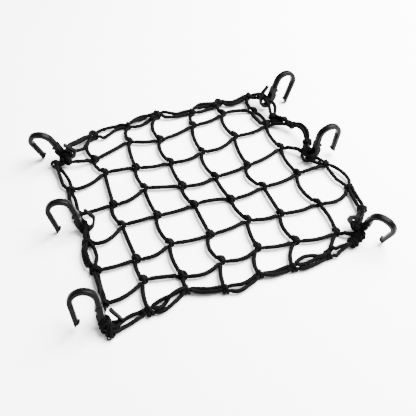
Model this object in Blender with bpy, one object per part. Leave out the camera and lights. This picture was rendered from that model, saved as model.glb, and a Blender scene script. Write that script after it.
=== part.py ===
"""Elastic cargo net with six moulded hooks, lying relaxed on a flat surface.

The net is six row strands and six column strands of round elastic cord, tied
in a knot where they cross, inside a doubled edge cord.  Six J-shaped hooks
ride on the edge cord: one at each corner, one half way down each side.
X runs along the rows, +Y is the back edge, +Z is up, and the net lies on Z = 0.
Every size and place below is written in millimetres and scaled by MM.
"""
from math import cos, pi, radians, sin

import bmesh
import bpy
from mathutils import Matrix, Vector
from mathutils.bvhtree import BVHTree

MM = 0.001

# Driving sizes
PITCH = 57.0            # cell size of the knotted grid
CORD = 5.0              # diameter of the elastic cord
CORD_SIDES = 6
SPAN_STEPS = 3          # straight pieces in one bowed span between two knots
SPAN_LIFT = 1.5         # how far a span rises above its knots
KNOT_WIDE = 11.4        # knot across its two lobes
KNOT_HIGH = 10.4
KNOT_LOBE = 0.14        # how much the lobes stand out, as a share of the radius
KNOT_SEGMENTS = 6
KNOT_RINGS = 4
KNOT_FLAT = 0.5         # beyond this share of its half height a knot is flattened
KNOT_TURNS = (60.0, 45.0)   # the lobes' direction, in turn from one knot to the next
BURIED = 3.2            # a span starts this far from the middle of its knot
PAIR = 5.6              # side-by-side distance of the two edge strands
GAP = 0.5               # clearance between neighbouring pieces
REACH_STEP = 0.5        # a strand grows towards the edge cord in steps this long
WELD = 0.002            # points closer than this are one point

# Middle of the knotted grid, seen from the middle of the whole footprint
GRID_AT = Vector((11.3, 7.4, 0.0))

# Row strands, back to front.  shift: how far each knot lies behind its place
# in an even grid.  bow: how far the middle of each span bows to the back.
# The spans run from the left edge to the right edge.  The first row has no right
# end: it turns down at its last knot, beside the last column, and leaves with
# the second row.
ROWS = [
    # left end  right end  shift of the six knots                   bow of the seven spans
    ("k0", None, (-20.5, 3.5, -11.5, 4.5, 15.5, 3.5), (-4, -3, -7, -6, -8, 2)),
    ("l2", "k2", (1.5, -4.5, -12.5, -6.5, 10.5, 20.5), (-10, -2, -7, -10, -13, -8, 3)),
    ("k8", "kc", (-14.5, 3.5, -13.5, -12.5, -6.5, 13.5), (-3, -10, -3, -9, -5, -6, 1)),
    ("l4", "k4", (-2.5, -2.5, -1.5, -10.5, -2.5, 5.5), (-15, -3, -5, 2, -6, -7, -3)),
    ("l5", "k5", (-15.5, -4.5, -9.5, -1.5, -7.5, -7.5), (-4, -10, -5, -5, -7, -7, -14)),
    ("l6", "kd", (2.5, -9.5, -3.5, 0.5, -7.5, -13.5), (-9, 0, -12, -11, -6, -7, -1)),
]

# The first row's tail: how far it lies beside the last column, where it leaves
# that column's second knot, how far from the second row it reaches the edge,
# and the bows of its two spans.
TAIL_DOWN = Vector((-5.6, 0.0, 0.0))
TAIL_TURN = Vector((3.2, 2.6, 0.0))
TAIL_OUT = Vector((3.5, 4.4, 0.0))
TAIL_DOWN_BOW = Vector((-3.0, 0.0, 0.0))
TAIL_OUT_BOW = Vector((0.0, 4.0, 0.0))

# Column strands, left to right.  shift and bow are to the right.
# The spans run from the back edge to the front edge.
COLUMNS = [
    # back end  front end  shift of the six knots              bow of the seven spans
    ("b1", "f1", (-5.5, 1.5, -3.5, -2.5, -0.5, -1.5), (-13, -7, -1, -7, -1, -5, -4)),
    ("b2", "f2", (1.5, -5.5, -5.5, -4.5, -3.5, -5.5), (-5, -3, -5, -3, -7, -5, -1)),
    ("b3", "f3", (-4.5, -6.5, -5.5, -1.5, 0.5, -1.5), (-11, -8, -3, -6, -1, -10, -4)),
    ("b4", "f4", (2.5, -5.5, -6.5, -1.5, 6.5, -0.5), (-4, -6, -8, -3, -5, -4, -7)),
    ("b5", "f5", (5.5, 2.5, -4.5, -0.5, 1.5, -0.5), (-6, -9, -5, -12, -1, -8, -7)),
    ("b6", "f6", (0.5, 7.5, 6.5, 6.5, 6.5, 5.5), (-6, 4, -6, -6, -11, 4, 0)),
]

# Hooks.  x, y: the foot of the shank, above the clip.  heading: the way the
# hook points.  lean: to its own left.  tip: how far it nods outward.
HOOKS = {
    #                       x       y       heading  lean   tip
    "hook_back_left":   (-203.0, 141.0, 155.0, 11.0, 20.0),
    "hook_back_right":  (183.0, 152.0, 8.0, 3.0, 23.0),
    "hook_mid_right":   (191.6, 0.0, 2.0, -3.0, 6.0),
    "hook_front_right": (184.6, -176.0, -56.5, -12.0, 20.6),
    "hook_front_left":  (-214.6, -185.0, 168.0, -12.0, 6.0),
    "hook_mid_left":    (-207.0, -14.0, 167.0, -4.0, 14.0),
}

# The edge cord, clockwise from the back left corner.  A row with a place is a
# knot, or a bend without one, and a row that names a hook is where both
# strands pass through its clip.  spread, bow and lift describe the stretch
# that follows: the widest distance between its two strands, and how far it
# bows outward and upward.
EDGE = [
    # name                x       y      z    spread  bow  lift
    ("k0",              -191.0, 124.0, 13.0,   5.4,  0.0,  0.0),
    ("hook_back_left",    None,  None, None,  14.0,  0.0,  0.0),
    ("b1",              -136.0, 180.0,  5.2,  13.0,  1.0,  1.0),
    ("b2",               -75.0, 182.0,  5.2,  15.0, -1.0,  1.0),
    ("b3",               -19.0, 194.0,  5.2,   8.0, -4.0,  1.0),
    ("b4",                41.0, 180.0,  5.2,  16.0,  1.0,  1.0),
    ("b5",                94.0, 188.0,  5.2,   7.0, -8.0,  1.0),
    ("b6",               149.0, 183.0,  8.0,   9.0,  0.0,  0.0),
    ("hook_back_right",   None,  None, None,   8.0,  0.0,  0.0),
    ("k1",               168.0, 115.0,  9.0,   6.0,  3.0,  1.0),
    ("k2",               186.0,  77.0, 14.0,   6.0,  6.0, 10.0),
    ("k3",               190.0,  27.0, 16.0,   5.6,  0.0,  0.0),
    ("kc",               179.0,  12.5, 13.0,   5.4,  0.0,  0.0),
    ("hook_mid_right",    None,  None, None,   6.5,  0.0,  0.0),
    ("k4",               199.0, -22.0,  8.0,  17.0,  4.0,  0.0),
    ("k5",               211.0, -81.0,  5.2,   7.0,  0.0,  1.0),
    ("k6",               205.0,-132.0,  9.0,   6.0,  0.0,  0.0),
    ("hook_front_right",  None,  None, None,   5.4,  0.0,  0.0),
    ("kd",               167.0,-166.5, 13.0,   5.6,  0.0,  0.0),
    ("k7",               158.0,-182.0,  7.0,   9.0,  0.0,  1.0),
    ("f6",               117.0,-191.0,  5.2,  14.0, -2.0,  1.0),
    ("f5",                61.0,-194.0,  5.2,   7.0,  4.0,  1.0),
    ("f4",                11.0,-188.0,  5.2,   9.0,  6.0,  1.0),
    ("f3",               -43.0,-195.0,  5.2,   7.0,  2.0,  1.0),
    ("f2",               -94.0,-177.0,  5.2,  15.0,  3.0,  1.0),
    ("f1",              -152.0,-193.0,  5.2,   7.0, -4.0,  0.0),
    ("bend",            -191.0,-208.0,  8.0,   6.0,  0.0,  0.0),
    ("hook_front_left",   None,  None, None,   6.0,  0.0,  0.0),
    ("l6",              -204.0,-160.0,  6.0,   6.0,  0.0,  1.0),
    ("l5",              -203.0,-101.0,  5.2,  15.0,  0.0,  1.0),
    ("l4",              -202.0, -48.0,  6.0,   6.0,  0.0,  0.0),
    ("hook_mid_left",     None,  None, None,   6.0,  0.0,  0.0),
    ("k8",              -198.0,   8.0, 12.0,   9.0,  2.0,  0.0),
    ("l2",              -201.0,  67.0,  5.2,  10.0,  0.0,  1.0),
    ("l1",              -211.0, 128.0,  9.0,   5.6,  0.0,  0.0),
]
SHORT_LEG = 16.0        # a stretch shorter than this is one straight piece

# Hook, in its own upright plane: u points outward, w points up, and the foot
# of the shank is the origin.
SHANK = 16.6            # straight part from the foot up to the arch
ARCH_RADIUS = 17.6
ARCH_STEPS = 8
ARM_ROOT = 5.0          # the arm starts this far below the foot, inside the clip
TIP_LEG = 39.0
ARM_WIDE = (9.0, 7.0)   # across the hook's plane, at the shank and at the tip
ARM_THICK = (6.2, 5.0)  # in the hook's plane
FLANGE = 1.4            # edge left standing beside the channel in each side
CHANNEL = 1.0           # depth of that channel
LIP_WIDE = 11.5
LIP_THICK = 8.0
LIP_LONG = 2.5
CLIP_WIDE = 9.6
CLIP_PASS = (-9.1, -22.4)   # where the edge cord passes through the clip
PASS_HALF = 7.0         # it runs straight for this far to each side

# The clip under the shank is a flat band bent round the edge cord: down from
# the shank with a small lip, round the bottom, and up to the slanted gate.
CLIP_BAND = [
    # outer side (u, w)   inner side (u, w)
    ((3.4, 4.0),          (-3.4, 4.0)),
    ((5.8, 1.0),          (-3.4, 1.0)),
    ((5.8, -0.6),         (-3.4, -0.6)),
    ((3.4, -2.6),         (-3.4, -2.6)),
    ((7.6, -7.0),         (-3.2, -8.0)),
    ((8.5, -14.0),        (-3.1, -14.0)),
    ((7.5, -24.0),        (-3.2, -21.0)),
    ((3.0, -31.5),        (-4.4, -27.0)),
    ((-3.5, -34.0),       (-7.2, -28.8)),
    ((-10.0, -34.0),      (-10.6, -28.4)),
    ((-16.5, -29.0),      (-14.8, -24.5)),
    ((-22.5, -18.0),      (-18.6, -17.0)),
    ((-24.5, -10.5),      (-19.8, -10.0)),
    ((-16.8, 9.4),        (-13.4, 8.2)),
]

# Colours from the black cord and the black moulded plastic
FINISHES = {
    #                 red    green  blue   roughness
    "mesh_cord":     (0.012, 0.012, 0.013, 0.85),
    "edge_cord":     (0.012, 0.012, 0.013, 0.85),
    "hook_plastic":  (0.018, 0.018, 0.020, 0.42),
}


def clear_scene():
    for item in list(bpy.data.objects):
        bpy.data.objects.remove(item, do_unlink=True)


def material(name):
    """Principled material from the finishes table."""
    red, green, blue, roughness = FINISHES[name]
    finish = bpy.data.materials.new(name)
    finish.use_nodes = True
    shader = finish.node_tree.nodes["Principled BSDF"]
    shader.inputs["Base Color"].default_value = (red, green, blue, 1.0)
    shader.inputs["Roughness"].default_value = roughness
    shader.inputs["Metallic"].default_value = 0.0
    return finish


def add_object(name, mesh, finish=None):
    item = bpy.data.objects.new(name, mesh)
    bpy.context.collection.objects.link(item)
    if finish:
        mesh.materials.append(finish)
    return item


def mesh_from(name, bm):
    bmesh.ops.recalc_face_normals(bm, faces=bm.faces)
    mesh = bpy.data.meshes.new(name)
    bm.to_mesh(mesh)
    bm.free()
    return mesh


def evaluated_mesh(item):
    """Plain mesh of an object as its modifiers and bevel leave it, its cut edges welded."""
    depsgraph = bpy.context.evaluated_depsgraph_get()
    mesh = bpy.data.meshes.new_from_object(item.evaluated_get(depsgraph))
    bm = bmesh.new()
    bm.from_mesh(mesh)
    bmesh.ops.remove_doubles(bm, verts=bm.verts, dist=WELD * MM)
    bm.to_mesh(mesh)
    bm.free()
    return mesh


def unite(item, guide, solver="EXACT"):
    """Join a guide object's shape to an object."""
    guide.hide_render = True
    guide.display_type = "WIRE"
    union = item.modifiers.new("join_" + guide.name, "BOOLEAN")
    union.operation = "UNION"
    union.solver = solver
    union.object = guide


# ---------------------------------------------------------------- cord and knots

def cord_mesh(name, routes, diameter):
    """Round cord along each route, as one curve object turned into a mesh."""
    curve = bpy.data.curves.new(name, "CURVE")
    curve.dimensions = "3D"
    curve.bevel_depth = diameter / 2 * MM
    curve.bevel_resolution = CORD_SIDES // 2 - 2
    curve.use_fill_caps = True
    for route in routes:
        spline = curve.splines.new("POLY")
        spline.points.add(len(route) - 1)
        for point, place in zip(spline.points, route):
            point.co = (*(place * MM), 1.0)
    holder = add_object(name + "_route", curve)
    mesh = evaluated_mesh(holder)
    mesh.shade_smooth()
    bpy.data.objects.remove(holder, do_unlink=True)
    return mesh


def add_knot(bm, middle, index):
    """Two-lobed lump, flat underneath, with its lobes turned by the index."""
    turn = radians(KNOT_TURNS[index % len(KNOT_TURNS)])
    ball = bmesh.ops.create_uvsphere(bm, u_segments=KNOT_SEGMENTS, v_segments=KNOT_RINGS, radius=1.0)
    swing = Matrix.Rotation(turn, 3, "Z")
    for vert in ball["verts"]:
        x, y, z = vert.co
        swell = 1.0 - KNOT_LOBE + 2 * KNOT_LOBE * x * x
        flat = Vector((x * swell * KNOT_WIDE, y * swell * KNOT_WIDE, z * KNOT_HIGH)) / 2
        if z < -KNOT_FLAT:
            flat.z = -KNOT_HIGH / 2
        elif z > KNOT_FLAT:
            flat.z = KNOT_HIGH / 2 * (swell - KNOT_LOBE)
        vert.co = (middle + swing @ flat) * MM


def trimmed(route):
    """Route with its two ends cut back, but still buried in their knots."""
    start = route[0] + (route[1] - route[0]).normalized() * BURIED
    end = route[-1] + (route[-2] - route[-1]).normalized() * BURIED
    return [start] + route[1:-1] + [end]


def bowed_span(start, end, bow):
    """Shallow arc from one knot to the next."""
    route = []
    for step in range(SPAN_STEPS + 1):
        share = step / SPAN_STEPS
        arc = 4 * share * (1 - share)
        route.append(start.lerp(end, share) + (bow + Vector((0, 0, SPAN_LIFT))) * arc)
    return trimmed(route)


def cord_rim(place, ahead):
    """Points round the cord's surface at one place."""
    turn = ahead.to_track_quat("Z", "Y")
    rim = []
    for step in range(2 * CORD_SIDES):
        angle = pi * step / CORD_SIDES
        rim.append(place + turn @ Vector((cos(angle), sin(angle), 0)) * (CORD / 2))
    return rim


def is_clear(edge_tree, place, ahead):
    """Whether the cord's end at this place keeps its clearance from the edge cord."""
    for point in [place] + cord_rim(place, ahead):
        if edge_tree.find_nearest(point * MM)[3] < GAP * MM:
            return False
    return True


def reaching_span(knot, edge_knot, bow, edge_tree):
    """Shallow arc from a knot towards the edge cord, ended just before it touches."""
    arc = bowed_span(knot, edge_knot, bow)
    route = arc[:1]
    for start, end in zip(arc, arc[1:]):
        ahead = (end - start).normalized()
        count = int((end - start).length / REACH_STEP)
        for step in range(1, count + 1):
            place = start + ahead * (REACH_STEP * step)
            if not is_clear(edge_tree, place, ahead):
                route.append(place - ahead * REACH_STEP)
                return route
        route.append(end)
    return route


def grid_knots():
    """Middle of each knot of the grid, by row and column."""
    places = {}
    for row, (_, _, back_shift, _) in enumerate(ROWS):
        for column, (_, _, right_shift, _) in enumerate(COLUMNS):
            x = (column - 2.5) * PITCH + right_shift[row]
            y = (2.5 - row) * PITCH + back_shift[column]
            places[row, column] = Vector((x, y, KNOT_HIGH / 2)) + GRID_AT
    return places


def strand_routes(first_edge, crossings, last_edge, bows, edge_tree):
    """Spans of one strand through its crossings, and its ends at the edge cord."""
    routes = [reaching_span(crossings[0], first_edge, bows[0], edge_tree)]
    for start, end, bow in zip(crossings, crossings[1:], bows[1:]):
        routes.append(bowed_span(start, end, bow))
    if last_edge:
        routes.append(reaching_span(crossings[-1], last_edge, bows[-1], edge_tree))
    return routes


def row_routes(knots, edge_places, edge_tree):
    """Spans of the six rows, and the first row's tail beside the last column."""
    routes = []
    for row, (left_end, right_end, _, bows) in enumerate(ROWS):
        crossings = [knots[row, column] for column in range(len(COLUMNS))]
        bows = [Vector((0, bow, 0)) for bow in bows]
        first_edge = edge_places[left_end]
        last_edge = edge_places.get(right_end)
        routes += strand_routes(first_edge, crossings, last_edge, bows, edge_tree)
    last = len(COLUMNS) - 1
    routes.append(bowed_span(knots[0, last] + TAIL_DOWN, knots[1, last] + TAIL_DOWN, TAIL_DOWN_BOW))
    return routes


def column_routes(knots, edge_places, edge_tree):
    """Spans of the six columns, and the first row's tail beside the second row."""
    routes = []
    for column, (back_end, front_end, _, bows) in enumerate(COLUMNS):
        crossings = [knots[row, column] for row in range(len(ROWS))]
        bows = [Vector((bow, 0, 0)) for bow in bows]
        first_edge = edge_places[back_end]
        last_edge = edge_places[front_end]
        routes += strand_routes(first_edge, crossings, last_edge, bows, edge_tree)
    out_from = knots[1, len(COLUMNS) - 1] + TAIL_TURN
    out_to = edge_places[ROWS[1][1]] + TAIL_OUT
    routes.append(reaching_span(out_from, out_to, TAIL_OUT_BOW, edge_tree))
    return routes


def build_mesh_net(edge_places, edge_tree):
    knots = grid_knots()
    bm = bmesh.new()
    for (row, column), middle in knots.items():
        add_knot(bm, middle, row + column)
    net = add_object("mesh_net", mesh_from("mesh_net", bm), material("mesh_cord"))
    strands = {
        "rows": row_routes(knots, edge_places, edge_tree),
        "columns": column_routes(knots, edge_places, edge_tree),
    }
    for name, routes in strands.items():
        unite(net, add_object(name, cord_mesh(name, routes, CORD)), "MANIFOLD")


# ---------------------------------------------------------------- edge cord

def smooth_route(stops, steps):
    """Catmull-Rom curve through the stops, with the given steps in each leg."""
    ends = [stops[0] * 2 - stops[1]] + stops + [stops[-1] * 2 - stops[-2]]
    route = []
    for index, count in enumerate(steps):
        before, start, end, after = ends[index:index + 4]
        for step in range(count):
            t = step / count
            place = (start * 2 + (end - before) * t
                     + (before * 2 - start * 5 + end * 4 - after) * t * t
                     + (start * 3 - before - end * 3 + after) * t * t * t) * 0.5
            route.append((index, t, place))
    route.append((len(steps) - 1, 1.0, stops[-1]))
    return route


def edge_runs(hook_frames):
    """Stretches from one edge knot to the next, with the clips that they pass through."""
    runs = []
    names = [row[0] for row in EDGE]
    start = names.index("b1")
    order = EDGE[start:] + EDGE[:start + 1]
    stops = []
    legs = []
    for name, x, y, z, spread, bow, lift in order:
        if name in HOOKS:
            u, w = CLIP_PASS
            frame = hook_frames[name]
            stops += [frame @ Vector((u, PASS_HALF, w)), frame @ Vector((u, -PASS_HALF, w))]
            legs += [(PAIR, 0.0, 0.0), (spread, bow, lift)]
            continue
        stops.append(Vector((x, y, z)) + GRID_AT)
        if name == "bend":
            legs.append((spread, bow, lift))
            continue
        if len(stops) > 1:
            runs.append((stops, legs))
            stops = [stops[-1]]
        legs = [(spread, bow, lift)]
    return runs


def edge_routes(hook_frames):
    """The two strands of each stretch, side by side at its knots and clips."""
    routes = []
    up = Vector((0, 0, 1))
    for stops, legs in edge_runs(hook_frames):
        lengths = [(stops[i + 1] - stops[i]).length for i in range(len(legs))]
        steps = [1 if length < SHORT_LEG else SPAN_STEPS for length in lengths]
        path = smooth_route(stops, steps)
        pair = []
        for side in (1, -1):
            route = []
            for index, (leg, t, place) in enumerate(path):
                ahead = path[min(index + 1, len(path) - 1)][2]
                behind = path[max(index - 1, 0)][2]
                outward = up.cross(ahead - behind).normalized()
                spread, bow, lift = legs[leg]
                arc = 4 * t * (1 - t)
                aside = side * (PAIR + (spread - PAIR) * sin(pi * t) ** 2) / 2 + bow * arc
                route.append(place + outward * aside + up * (lift * arc))
            pair.append(trimmed(route))
        routes.append(pair)
    return routes


def edge_knots():
    places = {}
    for name, x, y, z, *_ in EDGE:
        if name not in HOOKS and name != "bend":
            places[name] = Vector((x, y, z)) + GRID_AT
    return places


def build_edge_cord(places, hook_frames):
    """Edge knots, joined to every other stretch of the strands and then to the rest."""
    bm = bmesh.new()
    for index, middle in enumerate(places.values()):
        add_knot(bm, middle, index)
    edge = add_object("edge_cord", mesh_from("edge_cord", bm), material("edge_cord"))
    routes = edge_routes(hook_frames)
    for name, share in (("even_stretches", routes[0::2]), ("odd_stretches", routes[1::2])):
        strands = [route for pair in share for route in pair]
        unite(edge, add_object(name, cord_mesh(name, strands, CORD)))
    return edge


# ---------------------------------------------------------------- hooks

def arm_section(wide, thick):
    """Outline (across, in plane) of the arm, with a channel in each side."""
    half = wide / 2
    edge = thick / 2
    web = edge - FLANGE
    inner = half - CHANNEL
    side = [(-half, -edge), (-half, -web), (-inner, -web), (-inner, web), (-half, web), (-half, edge)]
    return side + [(-across, -out) for across, out in side]


def arm_stations():
    """Places along the arm: (u, w), the direction across it, and how far along it is."""
    length = SHANK + pi * ARCH_RADIUS + TIP_LEG
    stations = [((0, -ARM_ROOT), 180.0, 0.0), ((0, SHANK), 180.0, SHANK / length)]
    for step in range(1, ARCH_STEPS + 1):
        angle = 180.0 - 180.0 * step / ARCH_STEPS
        u = ARCH_RADIUS * (1 + cos(radians(angle)))
        w = SHANK + ARCH_RADIUS * sin(radians(angle))
        stations.append(((u, w), angle, (SHANK + pi * ARCH_RADIUS * step / ARCH_STEPS) / length))
    foot = SHANK - TIP_LEG + LIP_LONG
    stations.append(((2 * ARCH_RADIUS, foot), 0.0, 1.0))
    return stations


def add_ring(bm, place, angle, section):
    """Ring of points around one station of the arm."""
    ring = []
    for across, out in section:
        u = place[0] + out * cos(radians(angle))
        w = place[1] + out * sin(radians(angle))
        ring.append(bm.verts.new(Vector((u, across, w)) * MM))
    return ring


def close_rings(bm, rings):
    """Skin between rings, with both ends closed."""
    count = len(rings[0])
    for lower, upper in zip(rings, rings[1:]):
        for index in range(count):
            after = (index + 1) % count
            bm.faces.new((lower[index], lower[after], upper[after], upper[index]))
    bm.faces.new(rings[0])
    bm.faces.new(rings[-1])


def arm_mesh():
    bm = bmesh.new()
    rings = []
    for place, angle, share in arm_stations():
        wide = ARM_WIDE[0] + (ARM_WIDE[1] - ARM_WIDE[0]) * share
        thick = ARM_THICK[0] + (ARM_THICK[1] - ARM_THICK[0]) * share
        rings.append(add_ring(bm, place, angle, arm_section(wide, thick)))
    tip = 2 * ARCH_RADIUS
    lip = arm_section(LIP_WIDE, LIP_THICK)
    rings.append(add_ring(bm, (tip, SHANK - TIP_LEG + LIP_LONG), 0.0, lip))
    rings.append(add_ring(bm, (tip, SHANK - TIP_LEG), 0.0, lip))
    close_rings(bm, rings)
    return mesh_from("hook_arm", bm)


def clip_mesh():
    bm = bmesh.new()
    rings = []
    half = CLIP_WIDE / 2
    for (outer_u, outer_w), (inner_u, inner_w) in CLIP_BAND:
        corners = [(outer_u, -half, outer_w), (inner_u, -half, inner_w),
                   (inner_u, half, inner_w), (outer_u, half, outer_w)]
        rings.append([bm.verts.new(Vector(corner) * MM) for corner in corners])
    close_rings(bm, rings)
    return mesh_from("hook_clip", bm)


def hook_mesh():
    """Arm and clip joined, shared by the six hooks."""
    arm = add_object("hook_arm", arm_mesh())
    clip = add_object("hook_clip", clip_mesh())
    unite(arm, clip)
    mesh = evaluated_mesh(arm)
    for item in (arm, clip):
        bpy.data.objects.remove(item, do_unlink=True)
    return mesh


def hook_frame(x, y, heading, lean, tip):
    """Hook's own frame, with its foot at the given place and height zero."""
    turn = Matrix.Rotation(radians(heading), 4, "Z")
    side = Matrix.Rotation(radians(-lean), 4, "X")
    nod = Matrix.Rotation(radians(tip), 4, "Y")
    return Matrix.Translation(Vector((x, y, 0)) + GRID_AT) @ turn @ side @ nod


def settled_frames(mesh):
    """Frame of each hook, raised until its lowest point is on the surface."""
    frames = {}
    for name, row in HOOKS.items():
        frame = hook_frame(*row)
        lowest = min((frame @ (vert.co / MM)).z for vert in mesh.vertices)
        frames[name] = Matrix.Translation((0, 0, -lowest)) @ frame
    return frames


def build_hooks(mesh, frames):
    mesh.materials.append(material("hook_plastic"))
    for name, frame in frames.items():
        hook = add_object(name, mesh)
        place, turn, _ = frame.decompose()
        hook.location = place * MM
        hook.rotation_mode = "QUATERNION"
        hook.rotation_quaternion = turn


def main():
    clear_scene()
    mesh = hook_mesh()
    frames = settled_frames(mesh)
    places = edge_knots()
    edge = build_edge_cord(places, frames)
    edge_tree = BVHTree.FromObject(edge, bpy.context.evaluated_depsgraph_get())
    build_mesh_net(places, edge_tree)
    build_hooks(mesh, frames)


main()
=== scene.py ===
import math
import random

import bmesh
import bpy
import numpy as np
from mathutils import Matrix, Vector
from mathutils.kdtree import KDTree


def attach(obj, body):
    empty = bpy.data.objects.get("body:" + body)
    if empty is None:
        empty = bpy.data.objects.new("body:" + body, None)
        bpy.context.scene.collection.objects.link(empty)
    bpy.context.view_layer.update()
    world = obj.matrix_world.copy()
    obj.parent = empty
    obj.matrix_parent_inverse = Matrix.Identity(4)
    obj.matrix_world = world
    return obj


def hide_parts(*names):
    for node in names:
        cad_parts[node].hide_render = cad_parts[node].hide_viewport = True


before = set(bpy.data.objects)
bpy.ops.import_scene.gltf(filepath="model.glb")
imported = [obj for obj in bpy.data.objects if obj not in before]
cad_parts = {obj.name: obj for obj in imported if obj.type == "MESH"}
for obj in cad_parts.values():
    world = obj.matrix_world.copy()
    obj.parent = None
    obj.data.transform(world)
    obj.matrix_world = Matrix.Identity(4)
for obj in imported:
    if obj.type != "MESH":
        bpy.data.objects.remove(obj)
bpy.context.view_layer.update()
print("frame loaded:", sorted(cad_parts))

mm = 0.001
upward = Vector((0, 0, 1))


view = {
    "place": (-241.8, -682.0, 757.5),    # camera, in mm
    "target": (0.5, -32.7, 0.0),
    "lens": 57.6,
    "sensor": 36.0,
    "farthest": 20.0,                    # in m
}
studio = {
    "floorColour": (0.97, 0.97, 0.97, 1.0),
    "floorSize": 6.0,
    "floorRoughness": 0.9,
    "floorGloss": 0.1,
    "skyColour": (1.0, 1.0, 1.0, 1.0),
    "skyStrength": 0.8,
    "boxPlace": (1.10, 0.10, 1.5),       # the big soft box overhead, in m
    "boxSize": 1.7,
    "boxPower": 480.0,
}


def placeCamera():
    cameraData = bpy.data.cameras.new("camera")
    cameraData.lens = view["lens"]
    cameraData.sensor_width = view["sensor"]
    cameraData.clip_end = view["farthest"]
    camera = bpy.data.objects.new("camera", cameraData)
    bpy.context.scene.collection.objects.link(camera)
    place = Vector(view["place"]) * mm
    aim = Vector(view["target"]) * mm - place
    camera.matrix_world = Matrix.Translation(place) @ aim.to_track_quat("-Z", "Y").to_matrix().to_4x4()
    bpy.context.scene.camera = camera


def makeStudio():
    half = studio["floorSize"] / 2
    floorMesh = bpy.data.meshes.new("floor")
    corners = [(-half, -half, 0), (half, -half, 0), (half, half, 0), (-half, half, 0)]
    floorMesh.from_pydata(corners, [], [(0, 1, 2, 3)])
    floor = bpy.data.objects.new("floor", floorMesh)
    bpy.context.scene.collection.objects.link(floor)
    paper = bpy.data.materials.new("studioPaper")
    paper.use_nodes = True
    shader = paper.node_tree.nodes["Principled BSDF"]
    shader.inputs["Base Color"].default_value = studio["floorColour"]
    shader.inputs["Roughness"].default_value = studio["floorRoughness"]
    shader.inputs["Specular IOR Level"].default_value = studio["floorGloss"]
    floorMesh.materials.append(paper)

    world = bpy.data.worlds.new("studioSky")
    bpy.context.scene.world = world
    world.use_nodes = True
    sky = world.node_tree.nodes["Background"]
    sky.inputs["Color"].default_value = studio["skyColour"]
    sky.inputs["Strength"].default_value = studio["skyStrength"]

    boxData = bpy.data.lights.new("softBox", "AREA")
    boxData.shape = "SQUARE"
    boxData.size = studio["boxSize"]
    boxData.energy = studio["boxPower"]
    softBox = bpy.data.objects.new("softBox", boxData)
    bpy.context.scene.collection.objects.link(softBox)
    place = Vector(studio["boxPlace"])
    softBox.matrix_world = Matrix.Translation(place) @ place.to_track_quat("Z", "Y").to_matrix().to_4x4()


placeCamera()
makeStudio()
print("camera, floor and light are in place")


cordFinish = {
    "black": (0.0008, 0.0008, 0.0009, 1.0),
    # the next colour is a painted highlight on the braid's crowns, where the light catches them
    "crownHighlight": (0.003, 0.003, 0.0032, 1.0),    # fibres that the light catches
    "roughness": 0.6,
    "gloss": 0.018,              # specular level
    "picksAround": 12,           # braid strands round the cord
    "pickLength": 2.6,           # how many mm one crossing of the braid is long
    "crownFall": 3.6,            # how steeply a braid strand falls to its sides
    "relief": 0.22,              # depth of the braid in mm
    "reliefStrength": 0.7,
    "fuzzScale": 900.0,
    "fuzzShare": 0.35,           # how much of the relief is fuzz
    "patchScale": 60.0,
    # where the painted highlight shows: by crown height, and in noise patches
    "highlightCrown": (0.5, 1.0),     # fibres show from the first height on, fully at the second
    "highlightPatch": (0.3, 0.75),
}
plasticFinish = {
    "black": (0.0009, 0.0008, 0.0010, 1.0),
    # scuffs and painted highlight together: the lighter purple-grey of the raised edges
    "sheenAndScuff": (0.004, 0.0035, 0.0045, 1.0),
    "roughness": 0.27,
    "gloss": 0.032,
    "grain": 0.05,               # depth of the moulded grain in mm
    "grainStrength": 0.5,
    "grainScale": 1400.0,
    "cloudScale": 90.0,
    "cloudRoughness": 0.16,
    "sheenAndScuffEdge": (0.50, 0.56),
    "sheenAndScuffCloud": (0.35, 0.7),
}


class NodeBench:

    def __init__(self, name):
        self.material = bpy.data.materials.new(name)
        self.material.use_nodes = True
        self.tree = self.material.node_tree
        self.shader = self.tree.nodes["Principled BSDF"]

    def add(self, kind, **settings):
        node = self.tree.nodes.new(kind)
        for key, value in settings.items():
            setattr(node, key, value)
        return node

    def join(self, source, target):
        self.tree.links.new(source, target)

    def math(self, operation, first, second=None):
        node = self.add("ShaderNodeMath", operation=operation)
        for socket, value in zip(node.inputs, (first, second)):
            if value is None:
                continue
            if isinstance(value, (int, float)):
                socket.default_value = value
            else:
                self.join(value, socket)
        return node.outputs[0]

    def blend(self, share, low, high):
        node = self.add("ShaderNodeMix", data_type="RGBA")
        self.join(share, node.inputs["Factor"])
        node.inputs[6].default_value = low
        node.inputs[7].default_value = high
        return node.outputs[2]

    def noise(self, where, scale, detail):
        node = self.add("ShaderNodeTexNoise")
        node.inputs["Scale"].default_value = scale
        node.inputs["Detail"].default_value = detail
        self.join(where, node.inputs["Vector"])
        return node.outputs["Fac"]

    def ramp(self, value, low, high):
        node = self.add("ShaderNodeMapRange")
        node.inputs["From Min"].default_value = low
        node.inputs["From Max"].default_value = high
        self.join(value, node.inputs["Value"])
        return node.outputs["Result"]

    def bump(self, height, strength, distance):
        node = self.add("ShaderNodeBump")
        node.inputs["Strength"].default_value = strength
        node.inputs["Distance"].default_value = distance
        self.join(height, node.inputs["Height"])
        self.join(node.outputs["Normal"], self.shader.inputs["Normal"])
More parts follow.
